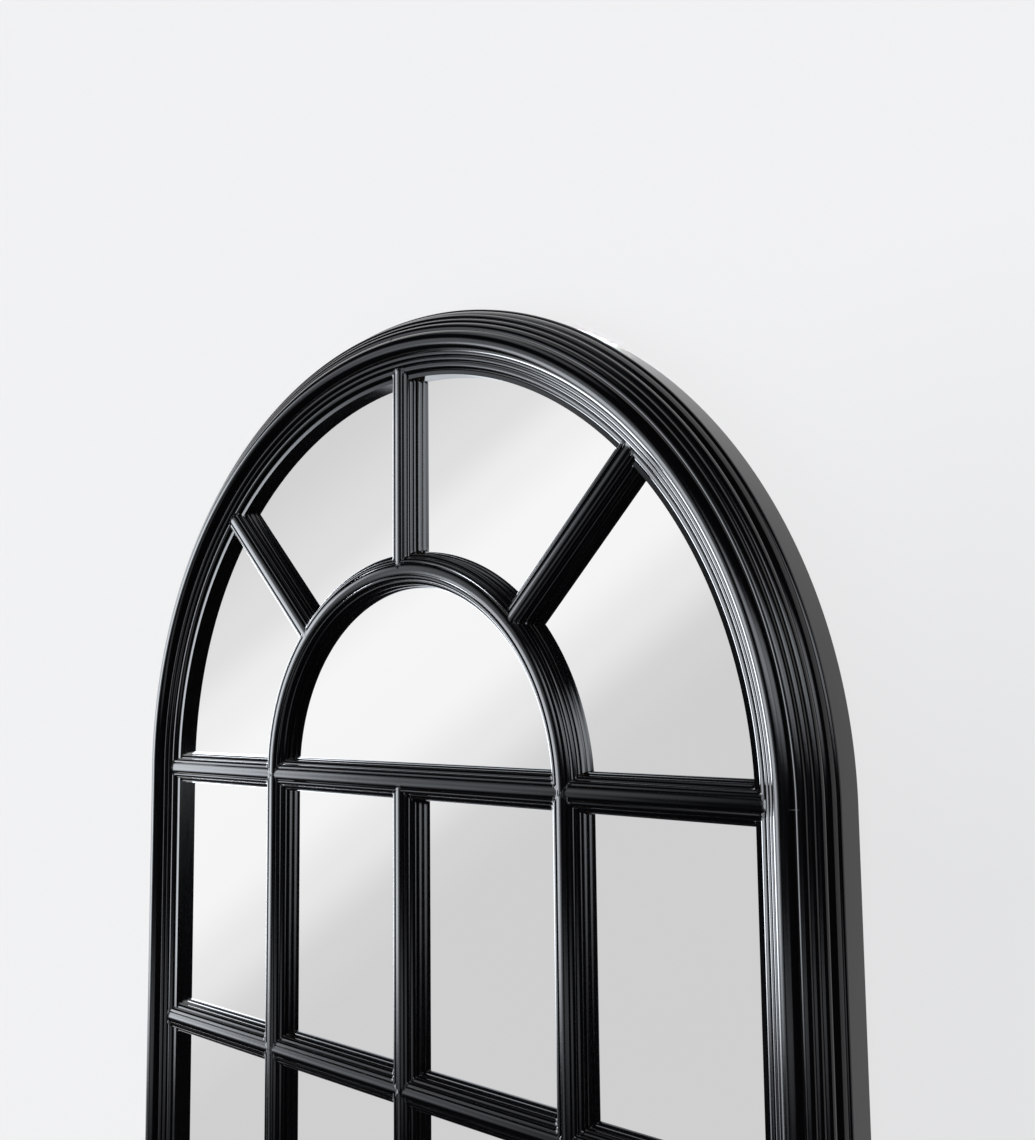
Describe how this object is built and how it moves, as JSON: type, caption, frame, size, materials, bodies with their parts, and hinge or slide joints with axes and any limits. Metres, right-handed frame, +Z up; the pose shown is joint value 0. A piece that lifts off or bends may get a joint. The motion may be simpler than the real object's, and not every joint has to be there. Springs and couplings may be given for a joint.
{
  "type": "arched wall mirror",
  "caption": "Tall round-topped wall mirror divided by reeded glazing bars into a fanlight over rectangular panes, hung on swinging rings recessed in its back.",
  "frame": {"origin": "on the wall plane, midway between the two hooks that carry the hanger rings", "axes": "+Z up, +X to the right of someone facing the mirror, +Y into the wall"},
  "size_m": [1, 0.0578, 1.8],
  "materials": {
    "black_lacquer": "satin-gloss black lacquer on wood",
    "mirror_glass": "silvered flat glass",
    "fibreboard": "plain brown fibreboard",
    "beech": "plain turned beech",
    "hanger_steel": "zinc-plated steel",
    "screw_steel": "yellow-passivated steel"
  },
  "bodies": {
    "mirror": {"arch_left": "black_lacquer", "arch_right": "black_lacquer", "backing_panel": "fibreboard", "backing_screws": "screw_steel", "bottom_rail": "black_lacquer", "cross_bar_1": "black_lacquer", "cross_bar_2": "black_lacquer", "cross_bar_3": "black_lacquer", "crown_dowels": "beech", "fan_pane_1": "mirror_glass", "fan_pane_2": "mirror_glass", "fan_pane_3": "mirror_glass", "fan_pane_4": "mirror_glass", "half_round_pane": "mirror_glass", "hanger_screws": "screw_steel", "hanger_strap_left": "hanger_steel", "hanger_strap_right": "hanger_steel", "inner_arch_bar": "black_lacquer", "mitre_dowels": "beech", "mullion_centre": "black_lacquer", "mullion_left": "black_lacquer", "mullion_right": "black_lacquer", "pane_row_1_column_1": "mirror_glass", "pane_row_1_column_2": "mirror_glass", "pane_row_1_column_3": "mirror_glass", "pane_row_1_column_4": "mirror_glass", "pane_row_2_column_1": "mirror_glass", "pane_row_2_column_2": "mirror_glass", "pane_row_2_column_3": "mirror_glass", "pane_row_2_column_4": "mirror_glass", "pane_row_3_column_1": "mirror_glass", "pane_row_3_column_2": "mirror_glass", "pane_row_3_column_3": "mirror_glass", "pane_row_3_column_4": "mirror_glass", "pane_row_4_column_1": "mirror_glass", "pane_row_4_column_2": "mirror_glass", "pane_row_4_column_3": "mirror_glass", "pane_row_4_column_4": "mirror_glass", "spoke_centre": "black_lacquer", "spoke_left": "black_lacquer", "spoke_right": "black_lacquer", "springing_dowels": "beech", "stile_left": "black_lacquer", "stile_right": "black_lacquer", "transom": "black_lacquer"},
    "d_ring_left": {"d_ring_left": "hanger_steel"},
    "d_ring_right": {"d_ring_right": "hanger_steel"}
  },
  "joints": [
    {"name": "ring_swing_left", "type": "hinge", "parent": "mirror", "child": "d_ring_left", "pos_m": [-0.47, -0.0073, -0.017], "axis": [-1, 0, 0], "range_deg": [0, 170]},
    {"name": "ring_swing_right", "type": "hinge", "parent": "mirror", "child": "d_ring_right", "pos_m": [0.47, -0.0073, -0.017], "axis": [-1, 0, 0], "range_deg": [0, 170]}
  ]
}
